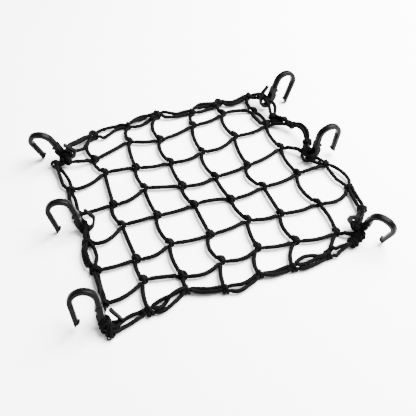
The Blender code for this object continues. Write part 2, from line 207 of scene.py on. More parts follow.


# Black braided sheath: two families of threads that pass over and under each other, with a painted highlight
# on the crowns of the threads, in patches.
def braidedCord(name):
    look = cordFinish
    bench = NodeBench(name)
    place = bench.add("ShaderNodeTexCoord")
    split = bench.add("ShaderNodeSeparateXYZ")
    bench.join(place.outputs["UV"], split.inputs[0])
    around = bench.math("MULTIPLY", split.outputs["X"], look["picksAround"])
    along = bench.math("MULTIPLY", split.outputs["Y"], 1000.0 / look["pickLength"])
    rising = bench.math("ADD", around, along)
    falling = bench.math("SUBTRACT", around, along)
    crowns = []
    for family in (rising, falling):
        share = bench.math("FRACT", family)
        centred = bench.math("SUBTRACT", share, 0.5)
        squared = bench.math("MULTIPLY", centred, centred)
        crowns.append(bench.math("SUBTRACT", 1.0, bench.math("MULTIPLY", squared, look["crownFall"])))
    steps = bench.math("ADD", bench.math("FLOOR", rising), bench.math("FLOOR", falling))
    isOdd = bench.math("FRACT", bench.math("MULTIPLY", steps, 0.5))
    picked = bench.add("ShaderNodeMix", data_type="FLOAT")
    bench.join(bench.math("MULTIPLY", isOdd, 2.0), picked.inputs["Factor"])
    bench.join(crowns[0], picked.inputs[2])
    bench.join(crowns[1], picked.inputs[3])
    crown = picked.outputs[0]
    fuzz = bench.noise(place.outputs["Object"], look["fuzzScale"], 3.0)
    patches = bench.noise(place.outputs["Object"], look["patchScale"], 2.0)
    # painted highlight: the crowns of the braid are drawn lighter, in noisy patches
    tops = bench.ramp(crown, *look["highlightCrown"])
    caught = bench.math("MULTIPLY", tops, bench.ramp(patches, *look["highlightPatch"]))
    bench.join(bench.blend(caught, look["black"], look["crownHighlight"]), bench.shader.inputs["Base Color"])
    height = bench.math("ADD", crown, bench.math("MULTIPLY", fuzz, look["fuzzShare"]))
    bench.bump(height, look["reliefStrength"], look["relief"] * mm)
    bench.shader.inputs["Roughness"].default_value = look["roughness"]
    bench.shader.inputs["Specular IOR Level"].default_value = look["gloss"]
    return bench.material


# Black nylon with a fine moulded grain; its raised parts are drawn lighter and purple-grey, partly as scuffs
# and partly as a painted highlight.
def mouldedPlastic(name):
    look = plasticFinish
    bench = NodeBench(name)
    place = bench.add("ShaderNodeTexCoord")
    grain = bench.noise(place.outputs["Object"], look["grainScale"], 2.0)
    clouds = bench.noise(place.outputs["Object"], look["cloudScale"], 4.0)
    raised = bench.add("ShaderNodeNewGeometry").outputs["Pointiness"]
    # raised edges, in cloudy patches, get the lighter colour: partly scuffs, partly a painted edge highlight
    edges = bench.ramp(raised, *look["sheenAndScuffEdge"])
    sheenAndScuffs = bench.math("MULTIPLY", edges, bench.ramp(clouds, *look["sheenAndScuffCloud"]))
    bench.join(bench.blend(sheenAndScuffs, look["black"], look["sheenAndScuff"]), bench.shader.inputs["Base Color"])
    rough = bench.math("ADD", look["roughness"], bench.math("MULTIPLY", clouds, look["cloudRoughness"]))
    bench.join(rough, bench.shader.inputs["Roughness"])
    bench.bump(grain, look["grainStrength"], look["grain"] * mm)
    bench.shader.inputs["Specular IOR Level"].default_value = look["gloss"]
    return bench.material


netCord = braidedCord("netCord")
borderCord = braidedCord("borderCord")
hookPlastic = mouldedPlastic("hookPlastic")
print("finishes made")


tube = {
    "sides": 12,
    "step": 1.7,             # distance between rings in mm
    "radius": 3.3,
    "tightRadius": 2.65,     # inside a pulled knot
    "hitchRadius": 2.25,     # in the hard pulled knots of the border
}


# A centripetal curve through stops of place and radius, cut into rings.
def smoothLine(stops, step):
    places = [Vector(place) for place, radius in stops]
    radii = [radius for place, radius in stops]
    places = [places[0] * 2 - places[1]] + places + [places[-1] * 2 - places[-2]]
    radii = [radii[0]] + radii + [radii[-1]]
    line = []
    for index in range(1, len(places) - 2):
        p0, p1, p2, p3 = places[index - 1:index + 3]
        t0 = 0.0
        t1 = t0 + max((p1 - p0).length, 1e-4) ** 0.5
        t2 = t1 + max((p2 - p1).length, 1e-4) ** 0.5
        t3 = t2 + max((p3 - p2).length, 1e-4) ** 0.5
        count = max(2, math.ceil((p2 - p1).length / step))
        for part in range(count):
            share = part / count
            t = t1 + (t2 - t1) * share
            a1 = p0 * ((t1 - t) / (t1 - t0)) + p1 * ((t - t0) / (t1 - t0))
            a2 = p1 * ((t2 - t) / (t2 - t1)) + p2 * ((t - t1) / (t2 - t1))
            a3 = p2 * ((t3 - t) / (t3 - t2)) + p3 * ((t - t2) / (t3 - t2))
            b1 = a1 * ((t2 - t) / (t2 - t0)) + a2 * ((t - t0) / (t2 - t0))
            b2 = a2 * ((t3 - t) / (t3 - t1)) + a3 * ((t - t1) / (t3 - t1))
            place = b1 * ((t2 - t) / (t2 - t1)) + b2 * ((t - t1) / (t2 - t1))
            line.append((place, radii[index] + (radii[index + 1] - radii[index]) * share))
    line.append((places[-2], radii[-2]))
    return line


# Cord tubes in one mesh, with UVs that run round and along each cord.
class CordMesh:

    def __init__(self):
        self.points = []
        self.faces = []
        self.uvs = []
        self.rings = []

    def addTube(self, stops, step=None):
        line = smoothLine(stops, step or tube["step"])
        sides = tube["sides"]
        places = [place for place, radius in line]
        self.rings += line
        side = None
        length = 0.0
        first = len(self.points)
        angles = [2 * math.pi * index / sides for index in range(sides)]
        for index, (place, radius) in enumerate(line):
            ahead = (places[min(index + 1, len(line) - 1)] - places[max(index - 1, 0)]).normalized()
            if side is None:
                side = ahead.orthogonal().normalized()
            side = (side - ahead * side.dot(ahead)).normalized()
            other = ahead.cross(side)
            if index:
                length += (place - places[index - 1]).length
            for angle in angles:
                point = place + (side * math.cos(angle) + other * math.sin(angle)) * radius
                self.points.append(tuple(point * mm))
            if index:
                low = first + (index - 1) * sides
                before = length - (place - places[index - 1]).length
                for number in range(sides):
                    after = (number + 1) % sides
                    self.faces.append((low + number, low + after, low + sides + after, low + sides + number))
                    u0, u1 = number / sides, (number + 1) / sides
                    v0, v1 = before * mm, length * mm
                    self.uvs += [(u0, v0), (u1, v0), (u1, v1), (u0, v1)]
        last = first + (len(line) - 1) * sides
        self.faces.append(tuple(first + number for number in reversed(range(sides))))
        self.faces.append(tuple(last + number for number in range(sides)))
        self.uvs += [(0.0, 0.0)] * (2 * sides)
        return length

    def finish(self, name, finish):
        mesh = bpy.data.meshes.new(name)
        mesh.from_pydata(self.points, [], self.faces)
        layer = mesh.uv_layers.new(name="UVMap")
        layer.data.foreach_set("uv", np.array(self.uvs, np.float32).ravel())
        mesh.shade_smooth()
        mesh.materials.append(finish)
        piece = bpy.data.objects.new(name, mesh)
        bpy.context.scene.collection.objects.link(piece)
        return piece


net = {
    "strands": 6,            # rows, and columns
    "pitch": 57.0,
    "knotHeight": 5.2,
    "middle": (11.3, 7.4),   # middle of the knot grid, from the middle of the footprint
    "lift": 1.5,             # how far a span rises between its knots
    "spanStep": 4.0,
    "clearOfKnot": 11.5,     # a span starts this far from the middle of its knot
    "clearOfEdge": 8.0,
    "shortSpan": 0.27,       # the share of a short span that its knot may take
    "shortClear": 1.2,       # how many times that its arc stays clear of the knot
}

# Row strands, back to front: left end, right end, how far back each of the six
# knots lies, and the backward bow of each span.
netRows = [
    ("k0", None, (-20.5, 3.5, -11.5, 4.5, 15.5, 3.5), (-4, -3, -7, -6, -8, 2)),
    ("l2", "k2", (1.5, -4.5, -12.5, -6.5, 10.5, 17.0), (-10, -2, -7, -10, -13, -8, 3)),
    ("k8", "kc", (-14.5, 3.5, -13.5, -12.5, -6.5, 13.5), (-3, -10, -3, -9, -5, -6, 1)),
    ("l4", "k4", (-2.5, -2.5, -1.5, -10.5, -2.5, 5.5), (-15, -3, -5, 2, -6, -7, -3)),
    ("l5", "k5", (-15.5, -4.5, -9.5, -1.5, -7.5, -7.5), (-4, -10, -5, -5, -7, -7, -14)),
    ("l6", "kd", (2.5, -9.5, -3.5, 0.5, -7.5, -13.5), (-9, 0, -12, -11, -6, -7, -1)),
]
# Column strands, left to right: back end, front end, how far right each knot
# lies, and the bow of each span to the right.
netColumns = [
    ("b1", "f1", (-5.5, 1.5, -3.5, -2.5, -0.5, -1.5), (-13, -7, -1, -7, -1, -5, -4)),
    ("b2", "f2", (1.5, -5.5, -5.5, -4.5, -3.5, -5.5), (-5, -3, -5, -3, -7, -5, -1)),
    ("b3", "f3", (-4.5, -6.5, -5.5, -1.5, 0.5, -1.5), (-11, -8, -3, -6, -1, -10, -4)),
    ("b4", "f4", (2.5, -5.5, -6.5, -1.5, 6.5, -0.5), (-4, -6, -8, -3, -5, -4, -7)),
    ("b5", "f5", (5.5, 2.5, -4.5, -0.5, 1.5, -0.5), (-6, -9, -5, -12, -1, -8, -7)),
    ("b6", "f6", (0.5, 7.5, 6.5, 6.5, 6.5, 5.5), (-6, 4, -6, -6, -11, 4, 0)),
]

# One crossing, pulled tight. The row strand makes a full turn round the column
# strand, which passes over it. x: along the row, y: to the back, z: up.
knotTurns = {
    "row": [(-5.0, -2.3, -1.0), (0.2, -4.0, -2.4), (4.6, -1.9, -2.6), (5.5, 1.6, -0.6), (2.8, 4.2, 2.0),
            (-1.0, 4.7, 2.0), (-4.2, 3.0, 1.4), (-4.1, 0.2, 2.2), (0.3, -1.0, 2.8), (5.0, -0.8, 1.6)],
    "column": [(-1.0, 6.4, 3.6), (-1.3, 2.2, 6.4), (-0.4, -2.3, 6.2), (0.8, -6.2, 2.3)],
    "reach": 9.0,            # the strand comes in and leaves this far from the middle
    "mouthHeight": 0.3,      # and this far above it
    "turnAbout": 9.0,        # how many degrees a knot may be turned either way
    "sizes": (0.95, 1.06),   # the smallest and the largest knot
    "offFloor": 0.1,
}
# The first row's end runs down beside the last column and leaves with the second row.
rowTail = {
    "beside": Vector((-6.0, -1.0, 0.0)),     # from the last column
    "cutAt": 9.5,                            # the row's own strand stops this far from the corner
    "bend": 0.3,                             # it bows away from the column by this share of that
    "clear": (11.0, 8.0),                    # of the corner's knot and of the second row's
    "round": [(-4.8, 5.2, 1.9), (1.0, 5.6, 3.9), (7.6, 5.0, 2.2)],    # over the second row's knot
    "leaves": Vector((3.4, 3.0, 0)),
    "ends": Vector((-2.5, 9.6, 0)),          # from the border's knot
    "lastBow": Vector((0, 4, 0)),
    "lastClear": (11.0, 6.0),
}

# The doubled border, clockwise from the back left corner. A row with a place
# is a knot or a bend, and a row that names a hook is where the border passes
# through its clip. The last three are the spread, bow and lift of what follows.
border = [
    ("k0", -191.0, 124.0, 13.0, 5.4, 0.0, 0.0),
    ("hook_back_left", None, None, None, 14.0, 0.0, 0.0),
    ("b1", -136.0, 180.0, 5.2, 13.0, 1.0, 1.0),
    ("b2", -75.0, 182.0, 5.2, 15.0, -1.0, 1.0),
    ("b3", -19.0, 194.0, 5.2, 8.0, -4.0, 1.0),
    ("b4", 41.0, 180.0, 5.2, 16.0, 1.0, 1.0),
    ("b5", 94.0, 188.0, 5.2, 7.0, -8.0, 1.0),
    ("b6", 149.0, 183.0, 8.0, 9.0, 0.0, 0.0),
    ("hook_back_right", None, None, None, 8.0, 0.0, 0.0),
    ("k1", 168.0, 115.0, 9.0, 6.0, 3.0, 1.0),
    ("k2", 186.0, 77.0, 14.0, 6.0, 6.0, 10.0),
    ("k3", 190.0, 27.0, 16.0, 5.6, 0.0, 0.0),
    ("kc", 179.0, 12.5, 13.0, 5.4, 0.0, 0.0),
    ("hook_mid_right", None, None, None, 6.5, 0.0, 0.0),
    ("k4", 199.0, -22.0, 8.0, 17.0, 4.0, 0.0),
    ("k5", 211.0, -81.0, 5.2, 7.0, 0.0, 1.0),
    ("k6", 205.0, -132.0, 9.0, 6.0, 0.0, 0.0),
    ("hook_front_right", None, None, None, 5.4, 0.0, 0.0),
    ("kd", 175.0, -178.5, 12.0, 5.6, 0.0, 0.0),
    ("k7", 161.0, -184.0, 7.0, 9.0, 0.0, 1.0),
    ("f6", 117.0, -191.0, 5.2, 14.0, -2.0, 1.0),
    ("f5", 61.0, -194.0, 5.2, 7.0, 4.0, 1.0),
    ("f4", 11.0, -188.0, 5.2, 9.0, 6.0, 1.0),
    ("f3", -43.0, -195.0, 5.2, 7.0, 2.0, 1.0),
    ("f2", -94.0, -177.0, 5.2, 15.0, 3.0, 1.0),
    ("f1", -152.0, -193.0, 5.2, 10.5, -4.0, 0.0),
    ("bend", -201.0, -207.0, 7.0, 6.0, 0.0, 0.0),
    ("hook_front_left", None, None, None, 6.0, 0.0, 0.0),
    ("l6", -206.0, -160.0, 6.0, 6.0, 0.0, 1.0),
    ("l5", -203.0, -101.0, 5.2, 15.0, 0.0, 1.0),
    ("l4", -202.0, -48.0, 6.0, 6.0, 0.0, 0.0),
    ("hook_mid_left", None, None, None, 6.0, 0.0, 0.0),
    ("k8", -202.5, 7.5, 9.0, 9.0, 2.0, 0.0),
    ("l2", -201.0, 67.0, 5.2, 10.0, 0.0, 1.0),
    ("l1", -211.0, 128.0, 9.0, 5.6, 0.0, 0.0),
]

# Hooks, as in the solids: where the foot of the shank is, from the middle of the
# grid, then heading, lean and nod, and how high the foot is.
hookPlaces = {
    "hook_back_left": (-203.0, 141.0, 155.0, 11.0, 20.0, 34.9),
    "hook_back_right": (183.0, 152.0, 8.0, 3.0, 23.0, 36.2),
    "hook_mid_right": (191.6, 0.0, 2.0, -3.0, 6.0, 33.7),
    "hook_front_right": (184.6, -176.0, -56.5, -12.0, 20.6, 35.2),
    "hook_front_left": (-214.6, -185.0, 168.0, -12.0, 6.0, 33.7),
    "hook_mid_left": (-207.0, -14.0, 167.0, -4.0, 14.0, 32.4),
}
middle = Vector((*net["middle"], 0.0))


def hookFrame(name):
    x, y, heading, lean, nod, foot = hookPlaces[name]
    turn = Matrix.Rotation(math.radians(heading), 4, "Z")
    side = Matrix.Rotation(math.radians(-lean), 4, "X")
    tip = Matrix.Rotation(math.radians(nod), 4, "Y")
    return Matrix.Translation(Vector((x, y, foot)) + middle) @ turn @ side @ tip


borderKnots = {row[0]: Vector(row[1:4]) + middle for row in border if row[1] is not None}


# Both strands of a crossing have its seed, so that they turn together.
def crossingSeed(row, column):
    return row * 31 + column * 7


def netKnots():
    places = {}
    half = (net["strands"] - 1) / 2
    for row, rowStrand in enumerate(netRows):
        for column, columnStrand in enumerate(netColumns):
            x = (column - half) * net["pitch"] + columnStrand[2][row]
            y = (half - row) * net["pitch"] + rowStrand[2][column]
            places[row, column] = Vector((x, y, net["knotHeight"])) + middle
    return places


def flatWay(direction):
    direction = Vector((direction.x, direction.y, 0.0))
    return direction.normalized()


# A shallow arc between two knots, clear of both.
def spanStops(start, end, bow, clearStart, clearEnd):
    length = (end - start).length
    count = max(3, round(length / net["spanStep"]))
    stops = []
    for step in range(count + 1):
        share = step / count
        if share * length < clearStart or (1 - share) * length < clearEnd:
            continue
        arc = 4 * share * (1 - share)
        place = start.lerp(end, share) + (bow + upward * net["lift"]) * arc
        stops.append((place, tube["radius"]))
    return stops


# A strand through one crossing, turned from the way it comes in to the way it leaves.
def knotStops(here, arrive, leave, kind, seed, reaches):
    wobble = random.Random(seed)
    twist = math.radians(wobble.uniform(-1, 1) * knotTurns["turnAbout"])
    size = wobble.uniform(*knotTurns["sizes"])
    rest = 0.0 if kind == "row" else -math.pi / 2
    first = math.atan2(arrive.y, arrive.x) - rest
    last = math.atan2(leave.y, leave.x) - rest
    last = first + math.remainder(last - first, 2 * math.pi)
    table = knotTurns[kind]
    low = tube["tightRadius"] + knotTurns["offFloor"]
    mouth = here + upward * knotTurns["mouthHeight"]
    mouthRadius = (tube["radius"] + tube["tightRadius"]) / 2
    stops = [(mouth - arrive * reaches[0], mouthRadius)]
    for index, offset in enumerate(table):
        share = (index + 0.5) / len(table)
        share = share * share * (3 - 2 * share)
        swing = Matrix.Rotation(first + (last - first) * share + twist, 3, "Z")
        place = here + swing @ (Vector(offset) * size)
        place.z = max(place.z, low)
        stops.append((place, tube["tightRadius"]))
    stops.append((mouth + leave * reaches[1], mouthRadius))
    return stops


# One hitch: turns made, place along the border and how far the turn stands out.
hitch = {
    "path": [(0.0, 2.6, 0.0), (0.5, 3.0, 0.0), (1.0, 2.2, 0.4), (1.25, 0.0, 1.7), (1.5, -2.6, 0.5),
             (2.0, -2.8, 0.0), (2.25, -1.0, 0.9)],
    "wide": 5.7,
    "high": 4.5,
    "stepsATurn": 8,
    "apart": 5.0,            # a second strand is tied this far beside the first
    "offFloor": 0.05,
    # stops of a loose end: share of its length, place along the border, rise, thickness
    "looseEnd": [(0.5, 1.2, 0.8, 1.0), (1.0, 2.0, 0.2, 0.92)],
}
# How large each border knot is drawn, and how far its cord end sticks out.
hitchLooks = {
    "b1": (1.28, 5.0), "b2": (0.78, 6.0), "b3": (1.18, 0.0), "b4": (0.87, 0.0), "b5": (1.06, 0.0),
    "b6": (0.92, 4.0), "k1": (1.06, 0.0), "k2": (0.78, 6.0), "k3": (1.01, 3.0), "kc": (0.92, 0.0),
    "k4": (0.85, 0.0), "k5": (0.97, 4.0), "k6": (1.01, 0.0), "kd": (1.1, 0.0), "k7": (1.16, 0.0),
    "f6": (1.01, 3.0), "f5": (0.92, 4.0), "f4": (0.92, 0.0), "f3": (0.97, 3.0), "f2": (0.97, 0.0),
    "f1": (1.1, 4.0), "l6": (1.01, 0.0), "l5": (1.15, 3.0), "l4": (1.01, 0.0), "k8": (0.92, 0.0),
    "l2": (0.92, 3.0), "l1": (1.06, 0.0), "k0": (0.92, 0.0),
}


# A clove hitch round the border, from the net's side and over the top.
def hitchStops(knot, tangent, inward, size=1.0, start=0.0, stub=0.0):
    stops = []
    table = hitch["path"]
    steps = round(table[-1][0] * hitch["stepsATurn"])
    for step in range(steps + 1):
        turn = table[-1][0] * step / steps
        along, swell = betweenRows(table, turn)
        angle = 2 * math.pi * turn
        place = (knot + tangent * (along * size + start)
                 + inward * ((hitch["wide"] + swell) * size * math.cos(angle))
                 + upward * ((hitch["high"] + swell) * size * math.sin(angle)))
        place.z = max(place.z, tube["hitchRadius"] + hitch["offFloor"])
        stops.append((place, tube["hitchRadius"]))
    if stub:
        last = stops[-1][0]
        for out, along, rise, thickness in hitch["looseEnd"]:
            place = last - inward * (stub * out) + tangent * along + upward * rise
            stops.append((place, tube["hitchRadius"] * thickness))
    return stops


def betweenRows(table, turn):
    for (t0, a0, s0), (t1, a1, s1) in zip(table, table[1:]):
        if turn <= t1:
            share = (turn - t0) / (t1 - t0)
            return a0 + (a1 - a0) * share, s0 + (s1 - s0) * share
    return table[-1][1], table[-1][2]


borderSize = {
    "radius": 3.05,
    "pair": 6.1,             # the two strands lie this far apart in a clip
    "pinched": 4.0,          # and this far apart inside a knot
    "bendGap": 6.0,          # and this far at the bend
    "steps": 14,             # stops from one place to the next
    "touch": 6.1,            # strands nearer than this lie on each other
    "tied": 7.0,             # this near a knot the border stays in its hitch
    "easeOver": 5.0,         # and over this length it rises onto the net's strands
    "mostOver": 7.5,
    "passHalf": 7.0,         # it runs straight for this far to each side of a clip
    "pastShank": 2.0,        # and this much farther where it turns aside
    "shortLeg": 16,          # a stretch shorter than this doesn't spread
    "cutNear": 3.0,          # no stops this near the end of a run
    "tightNear": 6.0,        # thinner this near a knot
    "outerClimb": 0.6,       # the share of the climb that the outer strand makes
    "innerClimb": 0.1,
}
# Where the border lies in each clip: place in the hook's plane, how far its two
# strands are turned from side by side towards one above the other, and how far
# they turn aside behind the shank.
clipPasses = {
    "hook_back_left": (-9.1, -22.4, 30.0, 0.0),
    "hook_back_right": (-9.1, -18.5, 0.0, 0.0),
    "hook_mid_right": (-9.1, -22.4, 0.0, 0.0),
    "hook_front_right": (-9.1, -22.4, 0.0, 0.0),
    "hook_front_left": (-6.2, -24.2, 82.0, 8.0),
    "hook_mid_left": (-6.0, -24.6, 82.0, 5.5),
}


# From one border knot to the next, with the clips that lie between them.
def borderRuns():
    passHalf = borderSize["passHalf"]
    names = [row[0] for row in border]
    start = names.index("b1")
    runs = []
    stops = []
    legs = []
    fromName = "b1"
    for name, x, y, z, spread, bow, lift in border[start:] + border[:start + 1]:
        if x is None:
            place = hookFrame(name)
            u, w, _, aside = clipPasses[name]
            past = passHalf + borderSize["pastShank"] * bool(aside)
            stops += [place @ Vector((u, passHalf, w)), place @ Vector((u, -passHalf / 2, w))]
            stops.append(place @ Vector((u + aside, -past, w + aside / 2)))
            legs += [(name, borderSize["pair"], 0.0, 0.0)] * 2 + [(name, spread, bow, lift)]
            continue
        stops.append(Vector((x, y, z)) + middle)
        if name == "bend":
            legs.append((name, spread, bow, lift))
            continue
        if len(stops) > 1:
            runs.append((fromName, name, stops, legs))
            stops = [stops[-1]]
        fromName = name
        legs = [(name, spread, bow, lift)]
    return runs


# A smooth curve from start to end, which the places before and after them shape.
def throughFour(before, start, end, after, t):
    return (start * 2 + (end - before) * t
            + (before * 2 - start * 5 + end * 4 - after) * t * t
            + (start * 3 - before - end * 3 + after) * t * t * t) * 0.5


# Which two of the values a share of the way lies between, and how far it is from the first.
def between(values, share):
    position = share * (len(values) - 1)
    index = min(int(position), len(values) - 2)
    return index, position - index


def runLine(stops, steps):
    ends = [stops[0] * 2 - stops[1]] + stops + [stops[-1] * 2 - stops[-2]]
    line = []
    for index in range(len(stops) - 1):
        for step in range(steps):
            t = step / steps
            line.append((index, t, throughFour(*ends[index:index + 4], t)))
    line.append((len(stops) - 2, 1.0, stops[-1]))
    return line


knotTangents = {}
runs = borderRuns()
for fromName, toName, stops, legs in runs:
    line = runLine(stops, borderSize["steps"])
    knotTangents.setdefault(fromName, []).append((line[1][2] - line[0][2]).normalized())
    knotTangents.setdefault(toName, []).append((line[-1][2] - line[-2][2]).normalized())


# The border's direction at a knot, and the way into the net.
def knotAxes(name):
    tangent = sum(knotTangents[name], Vector())
    tangent.z = 0
    tangent.normalize()
    return tangent, tangent.cross(upward)


def makeNet():
    places = netKnots()
    cords = CordMesh()
    total = 0.0
    clearKnot, clearEdge = net["clearOfKnot"], net["clearOfEdge"]
    ends = {}

    def endStops(name):
        tangent, inward = knotAxes(name)
        size, stub = hitchLooks[name]
        start = ends.get(name, 0.0)
        ends[name] = start + hitch["apart"]
        return hitchStops(borderKnots[name], tangent, inward, size, start, stub)

    # the nodes are places, or border knots by name
    def strand(kind, nodes, bows, seeds):
        spots = [borderKnots[node] if isinstance(node, str) else node for node in nodes]
        line = list(reversed(endStops(nodes[0]))) if isinstance(nodes[0], str) else []
        for index in range(len(nodes) - 1):
            start, end = spots[index], spots[index + 1]
            most = (end - start).length * net["shortSpan"]
            clears = [min(clearEdge if isinstance(node, str) else clearKnot, most * net["shortClear"])
                      for node in nodes[index:index + 2]]
            line += spanStops(start, end, bows[index], *clears)
            if index + 2 < len(nodes):
                # an arc sets out and comes in with four times its bow
                arrive = flatWay(end - start - bows[index] * 4)
                leave = flatWay(spots[index + 2] - end + bows[index + 1] * 4)
                nextMost = (spots[index + 2] - end).length * net["shortSpan"]
                reaches = [min(knotTurns["reach"], most), min(knotTurns["reach"], nextMost)]
                line += knotStops(end, arrive, leave, kind, seeds[index], reaches)
        if isinstance(nodes[-1], str):
            line += endStops(nodes[-1])
        return line

    across = range(net["strands"])
    for row, (leftEnd, rightEnd, _, bows) in enumerate(netRows):
        bows = [Vector((0, bow, 0)) for bow in bows]
        knots = [places[row, column] for column in across]
        seeds = [crossingSeed(row, column) for column in across]
        if rightEnd:
            line = strand("row", [leftEnd, *knots, rightEnd], bows, seeds)
        else:
            corner, second = knots[-1], places[1, across[-1]]
            outer = borderKnots[netRows[1][1]]
            away = flatWay(second - corner)
            line = strand("row", [leftEnd, *knots, corner + away * net["pitch"]], bows + [Vector()], seeds)
            inKnot = [(place - corner).length < rowTail["cutAt"] for place, radius in line]
            line = line[:max(index for index, isIn in enumerate(inKnot) if isIn)]
            beside = rowTail["beside"]
            line += spanStops(corner + beside, second + beside, beside * rowTail["bend"], *rowTail["clear"])
            line += [(second + Vector(offset), tube["tightRadius"]) for offset in rowTail["round"]]
            line += spanStops(second + rowTail["leaves"], outer + rowTail["ends"],
                              rowTail["lastBow"], *rowTail["lastClear"])
        total += cords.addTube(line)
    for column, (backEnd, frontEnd, _, bows) in enumerate(netColumns):
        bows = [Vector((bow, 0, 0)) for bow in bows]
        knots = [places[row, column] for row in across]
        seeds = [crossingSeed(row, column) for row in across]
        total += cords.addTube(strand("column", [backEnd, *knots, frontEnd], bows, seeds))
    piece = cords.finish("netCords", netCord)
    print("net cord in mm:", round(total), "faces:", len(piece.data.polygons))
    return piece, cords.rings


netPiece, netRings = makeNet()


# Stretches where the strands lie in a way of their own: how far outward each
# one lies at 20, 40, 60 and 80 percent of the stretch.
stretches = {
    ("hook_back_left", "b1"): {"outer": (8, 7, 7, 6.5), "inner": (-8, -11.5, -10, -4),
                               "third": (3, 1.5, 1.5, 1.5)},
    ("b1", "b2"): {"outer": (7, 8, 7.5, 6), "inner": (-12, -8.5, -2, 1)},
    ("b2", "b3"): {"outer": (7.5, 10, 9.5, 5.5), "inner": (-8.5, -10, -8, -6.5), "third": (3, 4, 3.5, 1.5)},
    ("b3", "b4"): {"outer": (6, 1, -2.5, 0.5), "inner": (-8, -9.5, -8.5, -5)},
    ("b4", "b5"): {"outer": (8, 11.5, 8, 3.5), "inner": (-7, -8, -8, -7), "third": (3, 2.5, -0.5, -3)},
    ("b5", "b6"): {"outer": (-4, -6.5, -4.5, -1), "inner": (-9, -12.5, -10.5, -6.5)},
    ("b6", "hook_back_right"): {"outer": (6, 8.5, 9, 6), "inner": (-3.5, -4.5, -4, -3)},
    ("hook_back_right", "k1"): {"outer": (7.5, 9.5, 8.5, 5.5), "inner": (-1, -0.5, -1.5, -2)},
    ("k1", "k2"): {"outer": (4, 4, 4, 4), "inner": (-2.5, -2, -2, -2)},
    ("hook_mid_right", "k4"): {"outer": (5, 6, 5.5, 4), "inner": (-3.5, -4, -3.5, -2.5)},
    ("k4", "k5"): {"outer": (8, 11.5, 12.5, 10), "inner": (-3, -4.5, -5.5, -3)},
    ("k5", "k6"): {"outer": (3.5, 3.5, 3.5, 4), "inner": (-3, -3.3, -3.5, -3.2)},
    ("k7", "f6"): {"outer": (2, 2.5, 4.5, 7), "inner": (-1.5, -3, -3.5, -4)},
    ("f6", "f5"): {"outer": (5.5, 7, 8, 7), "inner": (-3, -8, -10.5, -8), "third": (1.5, 1.5, 2.5, 2)},
    ("f5", "f4"): {"outer": (3.8, 5.6, 6.8, 5), "inner": (-2.6, -0.4, 1, 0.2)},
    ("f4", "f3"): {"outer": (7, 9.5, 12, 10.5), "inner": (1, 3.4, 3, -1)},
    ("f3", "f2"): {"outer": (3.6, 5.2, 5.4, 4), "inner": (-2.4, -0.6, -0.6, -1.4)},
    ("f2", "f1"): {"outer": (5, 8, 10.5, 10), "inner": (-3.5, -4, -5.5, -5), "third": (-2, -1, 2.5, 6)},
    ("l6", "l5"): {"outer": (2.6, 0.8, 1.4, 2.0), "inner": (-2.6, -1.8, -1.6, -2)},
    ("l5", "l4"): {"outer": (9, 10.5, 10, 8), "inner": (-3, -7, -7.5, -6.5), "third": (4.5, 5.5, 5.5, 4)},
    ("k8", "l2"): {"outer": (4, 5.5, 6, 4.5), "inner": (-1.8, -2.5, -2.5, -1)},
    ("l2", "l1"): {"outer": (6.5, 5.5, 3.5, 2), "inner": (-4.5, -5, -4, -2.6)},
}


# How far apart the strands are where a stretch ends, and how far they are turned.
def endGap(name):
    if name in clipPasses:
        return borderSize["pair"], clipPasses[name][2]
    if name == "bend":
        return borderSize["bendGap"], 0.0
    return borderSize["pinched"], 0.0


def easeThrough(values, share):
    index, t = between(values, share)
    padded = [values[0]] + list(values) + [values[-1]]
    return throughFour(*padded[index:index + 4], t)


# How far outward the outer, the inner and the third strand lie, and how far the
# first two are turned.
def stretchOffsets(fromName, toName, spread, bow, share, isShort):
    (gapStart, rollStart), (gapEnd, rollEnd) = endGap(fromName), endGap(toName)
    roll = rollStart + (rollEnd - rollStart) * share
    own = stretches.get((fromName, toName))
    if own:
        outer = easeThrough([gapStart / 2, *own["outer"], gapEnd / 2], share)
        inner = easeThrough([-gapStart / 2, *own["inner"], -gapEnd / 2], share)
        third = easeThrough([0.0, *own["third"], 0.0], share) if "third" in own else None
        return outer, inner, third, roll
    base = gapStart + (gapEnd - gapStart) * share
    gap = base if isShort else base + (spread - base) * math.sin(math.pi * share) ** 2
    middleBow = bow * 4 * share * (1 - share)
    return middleBow + gap / 2, middleBow - gap / 2, None, roll


# Where a border strand crosses a strand of the net outside a knot, it lies on top.
def layOverNet(line):
    tree = KDTree(len(netRings))
    for index, (place, radius) in enumerate(netRings):
        tree.insert((place.x, place.y, 0.0), index)
    tree.balance()
    laid = []
    for place, radius in line:
        rise = 0.0
        for _, index, gap in tree.find_range((place.x, place.y, 0.0), radius + tube["radius"]):
            other, otherRadius = netRings[index]
            reach = radius + otherRadius
            if gap < reach:
                rise = max(rise, other.z + math.sqrt(reach ** 2 - gap ** 2) - place.z)
        toKnot = min((place - knot).length for knot in borderKnots.values())
        ease = min(max((toKnot - borderSize["tied"]) / borderSize["easeOver"], 0.0), 1.0)
        laid.append((place + upward * (min(rise, borderSize["mostOver"]) * ease), radius))
    return laid


# Extra turns that tie the border to a clip: place, heading, size and loose end.
clipWraps = [
    (-207.5, -206.5, 7.8, 146.0, 1.3, 0.0),
    (-212.5, -199.5, 8.6, 104.0, 1.16, 0.0),
    (-213.6, -193.4, 10.6, 118.0, 1.0, 4.0),
    (-199.0, -23.0, 9.0, 82.0, 1.05, 0.0),
    (-194.0, 134.0, 13.5, 75.0, 1.15, 3.0),
    (164.0, 160.0, 21.0, -62.0, 1.1, 3.0),
    (182.5, -7.0, 13.5, -80.0, 1.0, 0.0),
    (182.5, 7.5, 14.5, -76.0, 1.0, 3.0),
    (175.5, -172.5, 16.5, -114.0, 0.98, 3.0),
    (168.0, -181.5, 10.5, -166.0, 1.12, 0.0),
]
